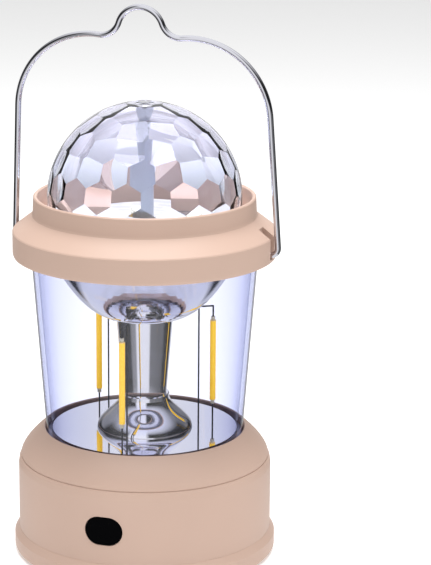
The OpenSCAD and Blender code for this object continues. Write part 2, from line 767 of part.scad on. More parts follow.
module cap_ring() color("tan") {
    hole_d = wire_d + 2 * run + 0.04;
    difference() {
        union() {
            rotate_extrude() polygon([
                [band_in_r, z_cap], [cap_r - 0.9, z_cap], [cap_r - 0.25, z_cap + 0.35], [cap_r, z_cap + 1.2],
                [cap_r, z_band - 0.3], [cap_r - 0.3, z_band + 0.15],
                [collar_foot_r + 0.9, z_shoulder - 0.5], [collar_foot_r + 0.2, z_shoulder + 0.1],
                [collar_foot_r, z_shoulder + 0.9], [collar_r, z_collar - 0.4], [collar_r - 0.4, z_collar],
                [collar_in_r + 0.4, z_collar], [collar_in_r, z_collar - 0.4],
                [collar_in_r, shelf_z + shelf_t], [collar_in_r - shelf_w, shelf_z + shelf_t],
                [collar_in_r - shelf_w, shelf_z],
                [collar_in_r, shelf_z], [band_in_r, z_band - 1.6]
            ]);
            intersection() {
                for (s = [0, 180]) rotate(s)
                    block([ear_in_r, -ear_w / 2, z_deck], [cap_r, ear_w / 2, z_shoulder]);
                rotate_extrude() polygon([
                    [0, z_cap], [cap_r - 0.5, z_cap], [cap_r - 0.5, z_band - 0.5],
                    [collar_r, z_shoulder - 0.7], [0, z_shoulder - 0.7]
                ]);
            }
            around(cap_screw_turns, cap_screw_r) disc(cap_boss_r, z_deck - 0.1, z_band);
        }
        for (s = [0, 180]) rotate(s)
            block([pocket_r, -pocket_w / 2, z_deck - 0.1], [cap_r + 1, pocket_w / 2, z_collar]);
        translate([-cap_r, 0, z_pivot]) rotate([0, 90, 0]) cylinder(d = hole_d, h = 2 * cap_r);
        around(cap_screw_turns, cap_screw_r) disc(0.85, z_deck - 1, z_deck + 5);
    }
}

module cap_base() color("dimgray") {
    difference() {
        union() {
            rotate_extrude() polygon([
                [0, z_deck], [groove_r, z_deck], [groove_r, plate_z], [plate_r, plate_z],
                [plate_r, plate_z + plate_t], [deck_r, plate_z + plate_t], [deck_r, deck_top], [0, deck_top]
            ]);
            around(leg_turns, leg_r) disc(leg_d / 2, deck_top - eps, cover_z);
        }
        around(leg_turns, leg_r) disc(0.85, cover_z - 5, cover_z + 1);
        for (s = [0, 180]) rotate(s)
            block([head_win_r + eps, -ear_w / 2 - clear, plate_z + plate_t],
                  [cap_r, ear_w / 2 + clear, deck_top + 1]);
        around(cap_screw_turns, cap_screw_r) {
            disc(1.1, z_cap, z_deck + 1);
            disc(cap_head_r, z_cap, plate_z + cap_head_h);
            disc(cap_boss_r + 0.2, plate_z + plate_t, deck_top + 1);
        }
        around(bowl_screw_turns, bowl_screw_r) disc(1.1, z_deck - 1, deck_top + 1);
        disc(journal_d / 2 + bush_t, z_deck - 1, deck_top + 1);
        translate([idler_x, idler_y, 0]) disc(pin_d / 2, z_deck - 1, deck_top + 1);
        translate([motor_x, motor_y, 0]) {
            disc(3 + snug, z_deck - 1, deck_top + 1);
            for (s = [0, 180]) rotate(motor_turn + s) translate([0, 5.5, 0]) {
                disc(1, z_deck - 1, deck_top + 1);
                disc(motor_head_r + snug, deck_top - motor_head_h, deck_top + 1);
            }
        }
        rotate(wire_turn) translate([wire_r, 0, 0])
            block([-1.2, -4, z_deck - 1], [1.2, 4, deck_top + 1]);
    }
}

module cap_screws() color("silver") around(cap_screw_turns, cap_screw_r) {
    disc(cap_head_r - snug, plate_z, plate_z + cap_head_h);
    disc(0.8, plate_z + cap_head_h - eps, z_deck + 4);
}

module reflector_screws() color("silver") around(bowl_screw_turns, bowl_screw_r) {
    disc(1.7, deck_top, deck_top + 1.1);
    disc(0.8, z_deck - 4, deck_top + eps);
}

module motor() color("silver") translate([motor_x, motor_y, 0]) difference() {
    union() {
        disc(motor_d / 2, z_deck - motor_len, z_deck);
        disc(3, z_deck - eps, deck_top);
        disc(2.5, z_deck - motor_len - 0.8, z_deck - motor_len + eps);
    }
    disc(pin_d / 2 + run, z_deck - 3, deck_top + 1);
    for (s = [0, 180]) rotate(motor_turn + s) translate([0, 5.5, 0]) disc(0.85, z_deck - 4, z_deck + 1);
}

module motor_screws() color("silver") translate([motor_x, motor_y, 0])
    for (s = [0, 180]) rotate(motor_turn + s) translate([0, 5.5, 0]) {
        disc(motor_head_r, deck_top - motor_head_h, deck_top);
        disc(0.8, z_deck - 3.4, deck_top - motor_head_h + eps);
    }

module motor_shaft() color("lightgray") translate([motor_x, motor_y, 0])
    disc(pin_d / 2, z_deck - 2.6, low_z + gear_w + 0.2);

module pinion() color("gold") translate([motor_x, motor_y, 0]) difference() {
    gear(pinion_teeth, gear_w, pair_turn + 180 + 180 / pinion_teeth, low_z);
    disc(pin_d / 2, low_z - 1, low_z + gear_w + 1);
}

module idler_gear() color("white") translate([idler_x, idler_y, 0]) difference() {
    union() {
        gear(wheel_teeth, gear_w, pair_turn, low_z);
        gear(pinion_teeth, gear_w + 0.8, idler_turn + 180 + 180 / pinion_teeth, low_z + gear_w - eps);
    }
    disc(pin_d / 2 + run, low_z - 1, cover_z);
}

module idler_pin() color("lightgray") translate([idler_x, idler_y, 0])
    disc(pin_d / 2, z_deck, rgb_z - 0.1);

module output_gear() color("white") difference() {
    union() {
        gear(wheel_teeth, gear_w, idler_turn, high_z);
        disc(shaft_d / 2 + 2, high_z - 0.4, high_z + gear_w + 0.1);
    }
    disc(shaft_d / 2, high_z - 1, cover_z);
}

module shaft_bushes() color("darkgoldenrod") {
    ring(journal_d / 2 + run, journal_d / 2 + bush_t, z_deck, deck_top);
    ring(shaft_d / 2 + run, shaft_d / 2 + bush_t, cover_z, rgb_z + 0.6);
}

module dome_shaft() color("slategray") difference() {
    rotate_extrude() polygon([
        [0, z_deck + 0.2], [journal_d / 2, z_deck + 0.2], [journal_d / 2, deck_top + 0.1],
        [shaft_d / 2, deck_top + 0.1], [shaft_d / 2, stem_z], [stem_d / 2, stem_z],
        [stem_d / 2, shaft_top_z - shaft_tip_h], [shaft_tip_d / 2, shaft_top_z - shaft_tip_h],
        [shaft_tip_d / 2, shaft_top_z], [0, shaft_top_z]
    ]);
    disc(dome_screw_d / 2 - pilot, shaft_top_z - dome_screw_len, shaft_top_z + 1);
}

module gearbox_cover() color("dimgray") difference() {
    disc(gear_cover_r, cover_z, rgb_z);
    disc(shaft_d / 2 + bush_t, cover_z - 1, rgb_z + 1);
    translate([idler_x, idler_y, 0]) disc(pin_d / 2, cover_z - 1, rgb_z + 1);
    around(leg_turns, leg_r) disc(1.1, cover_z - 1, rgb_z + 1);
    rotate(wire_turn) translate([wire_r, 0, 0]) block([-1.2, -4, cover_z - 1], [1.2, 4, rgb_z + 1]);
}

module gearbox_screws() color("silver") around(leg_turns, leg_r) {
    disc(1.9, rgb_z + rgb_t, rgb_z + rgb_t + 1.2);
    disc(0.8, cover_z - 4.5, rgb_z + rgb_t + eps);
}

module rgb_board() color("white") difference() {
    disc(gear_cover_r, rgb_z, rgb_z + rgb_t);
    disc(rgb_in_r, rgb_z - 1, rgb_z + rgb_t + 1);
    around(leg_turns, leg_r) disc(1.1, rgb_z - 1, rgb_z + rgb_t + 1);
}

module rgb_leds() color("ivory") around([for (i = [0 : led_n - 1]) 360 * i / led_n], led_r)
    block([-led_size / 2, -led_size / 2, rgb_z + rgb_t], [led_size / 2, led_size / 2, rgb_z + rgb_t + led_h]);

module dome() color("lavender", 0.5) {
    difference() {
        union() {
            translate([0, 0, z_ball]) sphere(r = dome_r, $fn = 128);
            disc(dome_r, dome_low_z, z_ball);
        }
        difference() {
            union() {
                translate([0, 0, z_ball]) sphere(r = dome_r - dome_wall, $fn = 128);
                disc(dome_r - dome_wall, dome_low_z - 1, z_ball);
            }
            disc(dome_boss_d / 2, shaft_top_z, boss_top_z);
        }
        disc(dome_r + 1, z_ball - dome_r - 1, dome_low_z);
        disc(dome_screw_d / 2 + 0.1, shaft_top_z - 1, boss_top_z + 1);
        disc(dome_boss_d / 2 - 1, boss_top_z - 1.4, boss_top_z + 1);
    }
}

module dome_screw() color("silver") {
    disc(dome_boss_d / 2 - 1.1, boss_top_z - 1.4, boss_top_z - 0.2);
    disc(dome_screw_d / 2 - 2 * pilot, shaft_top_z - dome_screw_len + 1, boss_top_z - 1.4 + eps);
}

// Points along one arc of the handle, in its own plane
function arc_points(mid, r, from, to, n) =
    [for (i = [0 : n]) let (t = from + (to - from) * i / n) mid + r * [cos(t), sin(t)]];

// The wire's middle from the right pivot, up to the top of the finger loop
function half_bail() = concat(
    [[heel_x - 1, 0]],
    arc_points([heel_x, bend_y], heel_r, -90, -leg_lean, 6),
    arc_points(shoulder_mid, bail_shoulder_r, -leg_lean, shoulder_end, 18),
    [for (p = arc_points(dip_mid, dip_r, shoulder_end + 180, loop_end + 180, 6)) if (p[0] < dip_in_x) p],
    [for (p = arc_points(loop_mid, loop_r, loop_end, 90, 8)) if (p[0] < loop_in_x) p]
);

// A round wire swept along points in a plane, closed at both ends
module flat_sweep(path, d) {
    sides = 12;
    last = len(path) - 1;
    function along(i) = let (v = path[min(i + 1, last)] - path[max(i - 1, 0)]) v / norm(v);
    rings = [for (i = [0 : last], k = [0 : sides - 1]) let (t = along(i), a = 360 * k / sides)
        [path[i][0] - t[1] * cos(a) * d / 2, path[i][1] + t[0] * cos(a) * d / 2, sin(a) * d / 2]];
    polyhedron(rings, concat(
        [[for (k = [0 : sides - 1]) k]],
        [for (i = [0 : last - 1], k = [0 : sides - 1]) let (m = (k + 1) % sides)
            [i * sides + m, i * sides + k, (i + 1) * sides + k, (i + 1) * sides + m]],
        [[for (k = [sides - 1 : -1 : 0]) last * sides + k]]
    ));
}

module bail() color("gainsboro") translate([0, 0, z_pivot]) rotate([90 + bail_lean, 0, 0]) {
    right = half_bail();
    left = [for (i = [len(right) - 2 : -1 : 0]) [-right[i][0], right[i][1]]];
    flat_sweep(concat(right, left), wire_d);
    for (s = [0, 180]) rotate([0, s, 0]) translate([ear_in_r + 0.2, 0, 0]) rotate([0, 90, 0])
        cylinder(d = wire_d + 0.02, h = heel_x - ear_in_r - 0.4, $fn = 32);
}

base_shell();
base_cover();
foot_ring();
base_screws();
shoulder_ring();
shoulder_screws();
power_button();
switch_plunger();
switch_body();
button_board();
battery();
battery_cradle();
battery_contacts();
main_board();
board_parts();
board_screws();
charge_board();
usb_port();
port_cover();
wiring();
window();
lower_seal();
upper_seal();
lower_reflector();
filament_board();
filaments();
filament_leads();
column();
upper_reflector();
cap_ring();
cap_base();
cap_screws();
reflector_screws();
motor();
motor_screws();
motor_shaft();
pinion();
idler_gear();
idler_pin();
output_gear();
shaft_bushes();
dome_shaft();
gearbox_cover();
gearbox_screws();
rgb_board();
rgb_leds();
dome();
dome_screw();
bail();
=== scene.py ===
import json
import math

import bmesh
import bpy
import numpy as np
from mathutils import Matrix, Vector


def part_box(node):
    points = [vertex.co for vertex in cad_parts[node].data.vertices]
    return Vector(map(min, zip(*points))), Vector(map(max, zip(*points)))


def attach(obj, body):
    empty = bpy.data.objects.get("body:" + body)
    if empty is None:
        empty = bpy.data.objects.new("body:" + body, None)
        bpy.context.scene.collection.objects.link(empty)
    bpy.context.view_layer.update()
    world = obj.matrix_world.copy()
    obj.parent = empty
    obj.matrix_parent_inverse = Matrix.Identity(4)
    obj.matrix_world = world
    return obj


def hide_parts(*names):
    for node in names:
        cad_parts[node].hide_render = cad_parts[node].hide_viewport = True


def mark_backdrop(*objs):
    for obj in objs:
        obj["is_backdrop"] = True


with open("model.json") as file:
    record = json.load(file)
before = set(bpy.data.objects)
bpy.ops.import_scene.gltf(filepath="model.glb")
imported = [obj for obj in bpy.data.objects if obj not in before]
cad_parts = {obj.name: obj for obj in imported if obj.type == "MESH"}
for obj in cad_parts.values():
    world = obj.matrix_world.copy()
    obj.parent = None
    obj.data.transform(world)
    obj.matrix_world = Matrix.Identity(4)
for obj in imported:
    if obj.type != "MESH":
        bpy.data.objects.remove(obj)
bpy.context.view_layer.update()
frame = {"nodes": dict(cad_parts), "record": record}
millimetre = 0.001
skin = 0.03 * millimetre      # the gap that a new surface keeps from the edge of the one it stands for
sliver = 0.02 * millimetre    # the same under the dome and round the window
print("frame loaded")


def linearColour(hexText):
    # sRGB hex to the linear colour that shader sockets take
    parts = [int(hexText[i:i + 2], 16) / 255 for i in (1, 3, 5)]
    return tuple(p / 12.92 if p <= 0.04045 else ((p + 0.055) / 1.055) ** 2.4 for p in parts) + (1.0,)


def addNode(tree, kind, settings=None, links=None):
    # settings are sockets (by name or number) or properties of the new node;
    # links are socket -> (node, output)
    node = tree.nodes.new(kind)
    for key, value in (settings or {}).items():
        if isinstance(key, int) or key in node.inputs:
            node.inputs[key].default_value = value
        else:
            setattr(node, key, value)
    for key, (source, output) in (links or {}).items():
        tree.links.new(source.outputs[output], node.inputs[key])
    return node


def startMaterial(name):
    material = bpy.data.materials.new(name)
    material.use_nodes = True
    tree = material.node_tree
    tree.nodes.clear()
    return material, tree


def finishMaterial(tree, shader, shaderOutput="BSDF"):
    output = addNode(tree, "ShaderNodeOutputMaterial")
    tree.links.new(shader.outputs[shaderOutput], output.inputs["Surface"])


def meshPiece(name, verts, faces, material):
    # a smooth object at the origin from arrays or lists of points and faces
    mesh = bpy.data.meshes.new(name)
    mesh.from_pydata(np.asarray(verts, float).tolist(), [], list(faces))
    mesh.polygons.foreach_set("use_smooth", np.ones(len(mesh.polygons), bool))
    mesh.update()
    piece = bpy.data.objects.new(name, mesh)
    bpy.context.scene.collection.objects.link(piece)
    mesh.materials.append(material)
    return piece


def gridFaces(rows, columns, wrapRows=False):
    # quads of a grid whose vertex number is row * columns + column, joined up across the columns
    i = np.arange(rows if wrapRows else rows - 1)
    j = np.arange(columns)
    a, b = np.meshgrid(i, j, indexing="ij")
    nextA, nextB = (a + 1) % rows, (b + 1) % columns
    quads = np.stack([a * columns + b, a * columns + nextB, nextA * columns + nextB, nextA * columns + b], -1)
    return quads.reshape(-1, 4).tolist()


def revolvedPoints(profile, segments):
    # each profile point (r, z) turned round the Z axis: x = r cos t, y = r sin t
    profile = np.asarray(profile, float)
    turn = np.linspace(0, 2 * np.pi, segments, endpoint=False)
    r, z = profile[:, :1], profile[:, 1:]
    points = np.stack([r * np.cos(turn), r * np.sin(turn), z + 0 * turn], -1)
    return points.reshape(-1, 3)


def revolvedPiece(name, profile, material, segments=192):
    # a closed outline of (r, z) points turned round Z, so the shell is closed without caps
    verts = revolvedPoints(profile, segments)
    faces = gridFaces(len(profile), segments, wrapRows=True)
    piece = meshPiece(name, verts, faces, material)
    outwards(piece)
    return piece


def outwards(piece):
    # merges doubles and turns every face outwards
    shell = bmesh.new()
    shell.from_mesh(piece.data)
    bmesh.ops.remove_doubles(shell, verts=shell.verts, dist=1e-6)
    bmesh.ops.recalc_face_normals(shell, faces=shell.faces)
    shell.to_mesh(piece.data)
    shell.free()
    piece.data.update()


def softEdges(piece, degrees):
    # smooth shading that stays sharp at edges steeper than this
    piece.data.polygons.foreach_set("use_smooth", np.ones(len(piece.data.polygons), bool))
    piece.data.set_sharp_from_angle(angle=math.radians(degrees))


def arcPoints(mid, r, start, end, count):
    # points on a circle round mid, from one turn to another, in degrees
    t = np.radians(np.linspace(start, end, count))
    return np.stack([mid[0] + r * np.cos(t), mid[1] + r * np.sin(t)], -1)


def mouldedPlastic(name, hexText, grain=0.35, roughness=0.42, level=0.25):
    # ABS and its like from a lightly textured mould: satin, with a fine spark grain and faint flow shading,
    # the flow about 45 mm long
    material, tree = startMaterial(name)
    place = addNode(tree, "ShaderNodeTexCoord")
    flow = addNode(tree, "ShaderNodeTexNoise", {"Scale": 22.0, "Detail": 2.0}, {"Vector": (place, "Object")})
    colour = addNode(tree, "ShaderNodeValToRGB", links={"Fac": (flow, "Fac")})
    base = np.array(linearColour(hexText))
    for stop, at, gain in zip(colour.color_ramp.elements, (0.3, 0.7), (0.97, 1.02)):
        stop.position, stop.color = at, tuple(np.append(base[:3] * gain, 1.0))
    # mould grain is about 0.1 mm, drawn coarser so that it shows
    spark = addNode(tree, "ShaderNodeTexNoise", {"Scale": 1 / (grain * millimetre), "Detail": 1.0},
                    {"Vector": (place, "Object")})
    bump = addNode(tree, "ShaderNodeBump", {"Strength": 0.06, "Distance": 0.0001}, {"Height": (spark, "Fac")})
    rough = addNode(tree, "ShaderNodeMapRange",
                    {"From Min": 0.3, "From Max": 0.7, "To Min": roughness - 0.04,
                     "To Max": roughness + 0.05},
                    {"Value": (spark, "Fac")})
    shader = addNode(tree, "ShaderNodeBsdfPrincipled", {"IOR": 1.53, "Specular IOR Level": level},
                     {"Roughness": (rough, "Result"), "Normal": (bump, "Normal"),
                      "Base Color": (colour, "Color")})
    finishMaterial(tree, shader)
    return material


def metallised(name, hexText, roughness=0.035):
    # vacuum metallised plastic: a mirror with the slow ripple of the moulding under it
    material, tree = startMaterial(name)
    place = addNode(tree, "ShaderNodeTexCoord")
    ripple = addNode(tree, "ShaderNodeTexNoise", {"Scale": 90.0, "Detail": 0.0},
                     {"Vector": (place, "Object")})
    bump = addNode(tree, "ShaderNodeBump", {"Strength": 0.05, "Distance": 0.0002},
                   {"Height": (ripple, "Fac")})
    rough = addNode(tree, "ShaderNodeMapRange", {"To Min": roughness * 0.7, "To Max": roughness * 1.5},
                    {"Value": (ripple, "Fac")})
    shader = addNode(tree, "ShaderNodeBsdfPrincipled", {"Metallic": 1.0, "Base Color": linearColour(hexText)},
                     {"Normal": (bump, "Normal"), "Roughness": (rough, "Result")})
    finishMaterial(tree, shader)
    return material


def platedSteel(name, hexText, roughness, scratch=0.25):
    # drawn or turned steel with a bright plating and faint fine scratches
    material, tree = startMaterial(name)
    place = addNode(tree, "ShaderNodeTexCoord")
    stretch = addNode(tree, "ShaderNodeMapping", {"Scale": (1.0, 1.0, 0.12)}, {"Vector": (place, "Object")})
    lines = addNode(tree, "ShaderNodeTexNoise", {"Scale": 1 / (scratch * millimetre), "Detail": 3.0},
                    {"Vector": (stretch, "Vector")})
    rough = addNode(tree, "ShaderNodeMapRange", {"To Min": roughness * 0.6, "To Max": roughness * 1.6},
                    {"Value": (lines, "Fac")})
    bump = addNode(tree, "ShaderNodeBump", {"Strength": 0.04, "Distance": 0.00005},
                   {"Height": (lines, "Fac")})
    shader = addNode(tree, "ShaderNodeBsdfPrincipled", {"Metallic": 1.0, "Base Color": linearColour(hexText)},
                     {"Normal": (bump, "Normal"), "Roughness": (rough, "Result")})
    finishMaterial(tree, shader)
    return material


def clearPlastic(name, lowHex, highHex, low, high, ior, roughness):
    # clear moulded acrylic: bends what is behind it, mirrors at its edges and lets lamps through. It is
    # faintly cooler low down, which evens out the warm light of the plastic round it
    material, tree = startMaterial(name)
    place = addNode(tree, "ShaderNodeTexCoord")
    height = addNode(tree, "ShaderNodeSeparateXYZ", links={"Vector": (place, "Object")})
    along = addNode(tree, "ShaderNodeMapRange", {"From Min": low, "From Max": high}, {"Value": (height, "Z")})
    tint = addNode(tree, "ShaderNodeValToRGB", links={"Fac": (along, "Result")})
    for stop, hexText in zip(tint.color_ramp.elements, (lowHex, highHex)):
        stop.color = linearColour(hexText)
    swirl = addNode(tree, "ShaderNodeTexNoise", {"Scale": 1 / (9 * millimetre), "Detail": 0.0},
                    {"Vector": (place, "Object")})
    bump = addNode(tree, "ShaderNodeBump", {"Strength": 0.05, "Distance": 0.0002}, {"Height": (swirl, "Fac")})
    shader = addNode(tree, "ShaderNodeBsdfPrincipled",
                     {"IOR": ior, "Roughness": roughness, "Transmission Weight": 1.0},
                     {"Normal": (bump, "Normal"), "Base Color": (tint, "Color")})
    path = addNode(tree, "ShaderNodeLightPath")
    through = addNode(tree, "ShaderNodeBsdfTransparent", {"Color": linearColour("#F8F8FC")})
    mix = addNode(tree, "ShaderNodeMixShader", links={0: (path, "Is Shadow Ray")})
    tree.links.new(shader.outputs["BSDF"], mix.inputs[1])
    tree.links.new(through.outputs["BSDF"], mix.inputs[2])
    finishMaterial(tree, mix, "Shader")
    return material


def clearWall(name, stops, shine):
    # thin injection-moulded polycarbonate with a faint gloss: nearly clear face on, bluer where the wall is
    # seen edgeways, and at the very edge a painted dark line in place of the dark surroundings seen there.
    # stops are (facing, hex) pairs, facing 0 head on and 1 edgeways
    material, tree = startMaterial(name)
    facing = addNode(tree, "ShaderNodeLayerWeight", {"Blend": 0.5})
    tint = addNode(tree, "ShaderNodeValToRGB", links={"Fac": (facing, "Facing")})
    ramp = tint.color_ramp.elements
    while len(ramp) < len(stops):
        ramp.new(0.5)
    for stop, (at, hexText) in zip(ramp, stops):
        stop.position, stop.color = at, linearColour(hexText)
    place = addNode(tree, "ShaderNodeTexCoord")
    flow = addNode(tree, "ShaderNodeTexNoise", {"Scale": 1 / (14 * millimetre), "Detail": 1.0},
                   {"Vector": (place, "Object")})
    bump = addNode(tree, "ShaderNodeBump", {"Strength": 0.04, "Distance": 0.0003}, {"Height": (flow, "Fac")})
    through = addNode(tree, "ShaderNodeBsdfTransparent", links={"Color": (tint, "Color")})
    gloss = addNode(tree, "ShaderNodeBsdfGlossy", {"Roughness": 0.03}, {"Normal": (bump, "Normal")})
    # how much a pane mirrors: 4% head on, rising with the fifth power of facing
    steep = addNode(tree, "ShaderNodeMath", {"operation": "POWER", 1: 5.0}, {0: (facing, "Facing")})
    share = addNode(tree, "ShaderNodeMath", {"operation": "MULTIPLY_ADD", 1: 0.9 * shine, 2: 0.04 * shine},
                    {0: (steep, "Value")})
    mix = addNode(tree, "ShaderNodeMixShader", links={0: (share, "Value")})
    tree.links.new(through.outputs["BSDF"], mix.inputs[1])
    tree.links.new(gloss.outputs["BSDF"], mix.inputs[2])
    finishMaterial(tree, mix, "Shader")
    return material


def phosphorCoat(name, low, high):
    # silicone loaded with yellow phosphor over a filament's chips: soft, with a painted yellow glow of its own,
    # and pale bare tips
    material, tree = startMaterial(name)
    place = addNode(tree, "ShaderNodeTexCoord")
    grain = addNode(tree, "ShaderNodeTexNoise", {"Scale": 1 / (0.8 * millimetre), "Detail": 1.0},
                    {"Vector": (place, "Object")})
    colour = addNode(tree, "ShaderNodeValToRGB", links={"Fac": (grain, "Fac")})
    for stop, at, hexText in zip(colour.color_ramp.elements, (0.25, 0.75), ("#FBCB38", "#FFDA46")):
        stop.position, stop.color = at, linearColour(hexText)
    height = addNode(tree, "ShaderNodeSeparateXYZ", links={"Vector": (place, "Object")})
    along = addNode(tree, "ShaderNodeMapRange", {"From Min": low, "From Max": high}, {"Value": (height, "Z")})
    tips = addNode(tree, "ShaderNodeValToRGB", links={"Fac": (along, "Result")})
    tips.color_ramp.interpolation = "LINEAR"
    for at in (0.055, 0.945):
        tips.color_ramp.elements.new(at)
    for stop, at, tone in zip(tips.color_ramp.elements, (0.035, 0.055, 0.945, 0.965), (1, 0, 0, 1)):
        stop.position, stop.color = at, (tone, tone, tone, 1)
    bare = addNode(tree, "ShaderNodeMix", {"data_type": "RGBA"}, {0: (tips, "Color"), 6: (colour, "Color")})
    bare.inputs[7].default_value = linearColour("#E4DDC4")
    # painted glow: the coated length shines a little by itself, the bare tips do not
    paintedGlow = addNode(tree, "ShaderNodeMix", {"data_type": "RGBA"}, {0: (tips, "Color")})
    paintedGlow.inputs[6].default_value = linearColour("#FFC21F")
    paintedGlow.inputs[7].default_value = (0, 0, 0, 1)
    shader = addNode(tree, "ShaderNodeBsdfPrincipled", {"Roughness": 0.45, "Emission Strength": 0.5},
                     {"Base Color": (bare, 2), "Emission Color": (paintedGlow, 2)})
    finishMaterial(tree, shader)
    return material


def softRubber(name, hexText, roughness=0.6, level=0.3):
    # silicone rubber: matt, dusty in its finest pits
    material, tree = startMaterial(name)
    place = addNode(tree, "ShaderNodeTexCoord")
    pits = addNode(tree, "ShaderNodeTexNoise", {"Scale": 1 / (0.4 * millimetre), "Detail": 3.0},
                   {"Vector": (place, "Object")})
    colour = addNode(tree, "ShaderNodeValToRGB", links={"Fac": (pits, "Fac")})
    base = np.array(linearColour(hexText))
    colour.color_ramp.elements[0].color = tuple(base)
    colour.color_ramp.elements[1].color = tuple(np.append(base[:3] * 1.4 + 0.001, 1.0))
    bump = addNode(tree, "ShaderNodeBump", {"Strength": 0.12, "Distance": 0.0001}, {"Height": (pits, "Fac")})
    shader = addNode(tree, "ShaderNodeBsdfPrincipled", {"Roughness": roughness, "Specular IOR Level": level},
                     {"Base Color": (colour, "Color"), "Normal": (bump, "Normal")})
    finishMaterial(tree, shader)
    return material


def solderMask(name, hexText, trackHex):
    # glass-fibre board under solder mask: glossy lacquer with the weave and the copper tracks faintly below
    material, tree = startMaterial(name)
    place = addNode(tree, "ShaderNodeTexCoord")
    tracks = addNode(tree, "ShaderNodeTexBrick",
                     {"Scale": 1 / (4.0 * millimetre), "Mortar Size": 0.06, "Color1": linearColour(hexText),
                      "Color2": linearColour(hexText), "Mortar": linearColour(trackHex)},
                     {"Vector": (place, "Object")})
    bump = addNode(tree, "ShaderNodeBump", {"Strength": 0.2, "Distance": 0.0001}, {"Height": (tracks, "Fac")})
    shader = addNode(tree, "ShaderNodeBsdfPrincipled", {"Roughness": 0.3, "Coat Weight": 0.4},
                     {"Base Color": (tracks, "Color"), "Normal": (bump, "Normal")})
    finishMaterial(tree, shader)
    return material


filamentLow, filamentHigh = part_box("filaments")
finishes = {
    "beigeAbs": mouldedPlastic("beigeMouldedAbs", "#CCAF9F"),
    "greyAbs": mouldedPlastic("greyMouldedAbs", "#6E6C6C"),
    "blackNylon": mouldedPlastic("blackMouldedNylon", "#1B1B1C"),
    "acetal": mouldedPlastic("naturalAcetal", "#E9E7DF", roughness=0.3),
    "shaftGrey": mouldedPlastic("greyShaftPlastic", "#A4ABB8", roughness=0.3),
    "mirror": metallised("metallisedPlastic", "#F5F5FB"),
    "brightWire": platedSteel("nickelPlatedWire", "#D2D2DA", 0.04),
    "zincScrew": platedSteel("zincPlatedSteel", "#B9BABD", 0.22),
    "darkLead": platedSteel("oxidisedLeadWire", "#4A4A52", 0.3),
    "tinPlate": platedSteel("tinnedSheet", "#C9C9C7", 0.2),
    "brass": platedSteel("turnedBrass", "#C9A24B", 0.18),
    # the outside's last two stops are painted shade: the dark line along the window's edges
    "window": clearWall("clearPolycarbonateOutside",
                        [(0.0, "#FAFAFC"), (0.12, "#F7F8FC"), (0.42, "#F1F3FD"), (0.8, "#E6E9FC"),
                         (0.87, "#6E6E96"), (1.0, "#26263E")], 1.0),
    "windowInside": clearWall("clearPolycarbonateInside", [(0.0, "#FBFBFD"), (1.0, "#F0F1FB")], 0.5),
    "crystal": clearPlastic("clearAcrylic", "#EEF6FF", "#ECECFA", 0.128, 0.152, 1.49, 0.005),
    "phosphor": phosphorCoat("filamentPhosphor", filamentLow.z, filamentHigh.z),
    "buttonRubber": softRubber("blackSiliconeRubber", "#020203", 0.6, 0.02),
    "footRubber": softRubber("darkFootRubber", "#2A2A2B"),
    "sealSilicone": softRubber("greySilicone", "#B9B9C2", 0.4),
    "greenBoard": solderMask("greenSolderMask", "#0E4A26", "#2F6B45"),
    "whiteBoard": solderMask("whiteSolderMask", "#C6C7C8", "#D9D7CF"),
    "cellWrap": mouldedPlastic("blueCellWrap", "#2E6FA3", roughness=0.25),
    "redWire": mouldedPlastic("redWireCover", "#A81E1E", roughness=0.35),
    "ledBody": mouldedPlastic("ledPackage", "#F0EAD2", roughness=0.25),
}
slotFinish = {
    "body_abs": "beigeAbs", "foot_rubber": "footRubber", "button_rubber": "buttonRubber",
    "seal_silicone": "sealSilicone", "screw_steel": "zincScrew", "black_plastic": "blackNylon",
    "tin_plate": "tinPlate", "circuit_board": "greenBoard", "white_board": "whiteBoard",
    "cell_wrap": "cellWrap", "wire_red": "redWire", "clear_window": "window", "mirror_plate": "mirror",
    "filament_phosphor": "phosphor", "lead_wire": "darkLead", "inner_plastic": "greyAbs",
    "motor_can": "tinPlate", "brass_gear": "brass", "gear_plastic": "acetal", "shaft_grey": "shaftGrey",
    "led_body": "ledBody", "crystal_dome": "crystal", "bright_wire": "brightWire",
}
for part in frame["record"]["subparts"]:
    data = frame["nodes"][part["node"]].data
    data.materials.clear()
    data.materials.append(finishes[slotFinish[part["material_slot"]]])
print("finishes ready")


dome = {
    # rows of facets: elevation in degrees, how many, and the offset in facets
    "rows": [(-3.8, 20, 0.5), (10.7, 20, 0.0), (25.2, 20, 0.5), (39.7, 16, 0.0), (54.2, 12, 0.0),
             (69.0, 7, 0.0)],
    "facetTurn": 7.0,      # where the first row's facets start, in degrees
    "wall": 2.2 * millimetre,
    "bossRadius": 3.4 * millimetre, "bossChamfer": 0.2 * millimetre,
    "seatDepth": 1.3 * millimetre, "seatGap": 0.08 * millimetre,
    "overcut": 2.0 * millimetre,      # how far a cutting shape runs past what it cuts
    "segments": 160, "ballRows": 72, "skirtRows": 8, "bossSegments": 48, "sharpAngle": 12,
}


def facetPlanes(rows, turn, reach):
    # one plane per facet, tangent to a ball of radius reach; a row has an elevation, a count and an offset.
    # each plane is given as its pole p, the plane being p . v = 1
    normals = []
    for elevation, count, offset in rows:
        t = np.radians(turn + 360 * (np.arange(count) + offset) / count)
        e = math.radians(elevation)
        level, up = np.full(count, math.cos(e)), np.full(count, math.sin(e))
        normals.append(np.stack([np.cos(t) * level, np.sin(t) * level, up], -1))
    normals = np.concatenate(normals + [[[0.0, 0.0, 1.0]]])
    return normals / reach


def convexShell(points):
    # the smallest convex solid round the points
    mesh = bpy.data.meshes.new("points")
    mesh.from_pydata(points.tolist(), [], [])
    shell = bmesh.new()
    shell.from_mesh(mesh)
    bpy.data.meshes.remove(mesh)
    bmesh.ops.convex_hull(shell, input=shell.verts)
    return shell


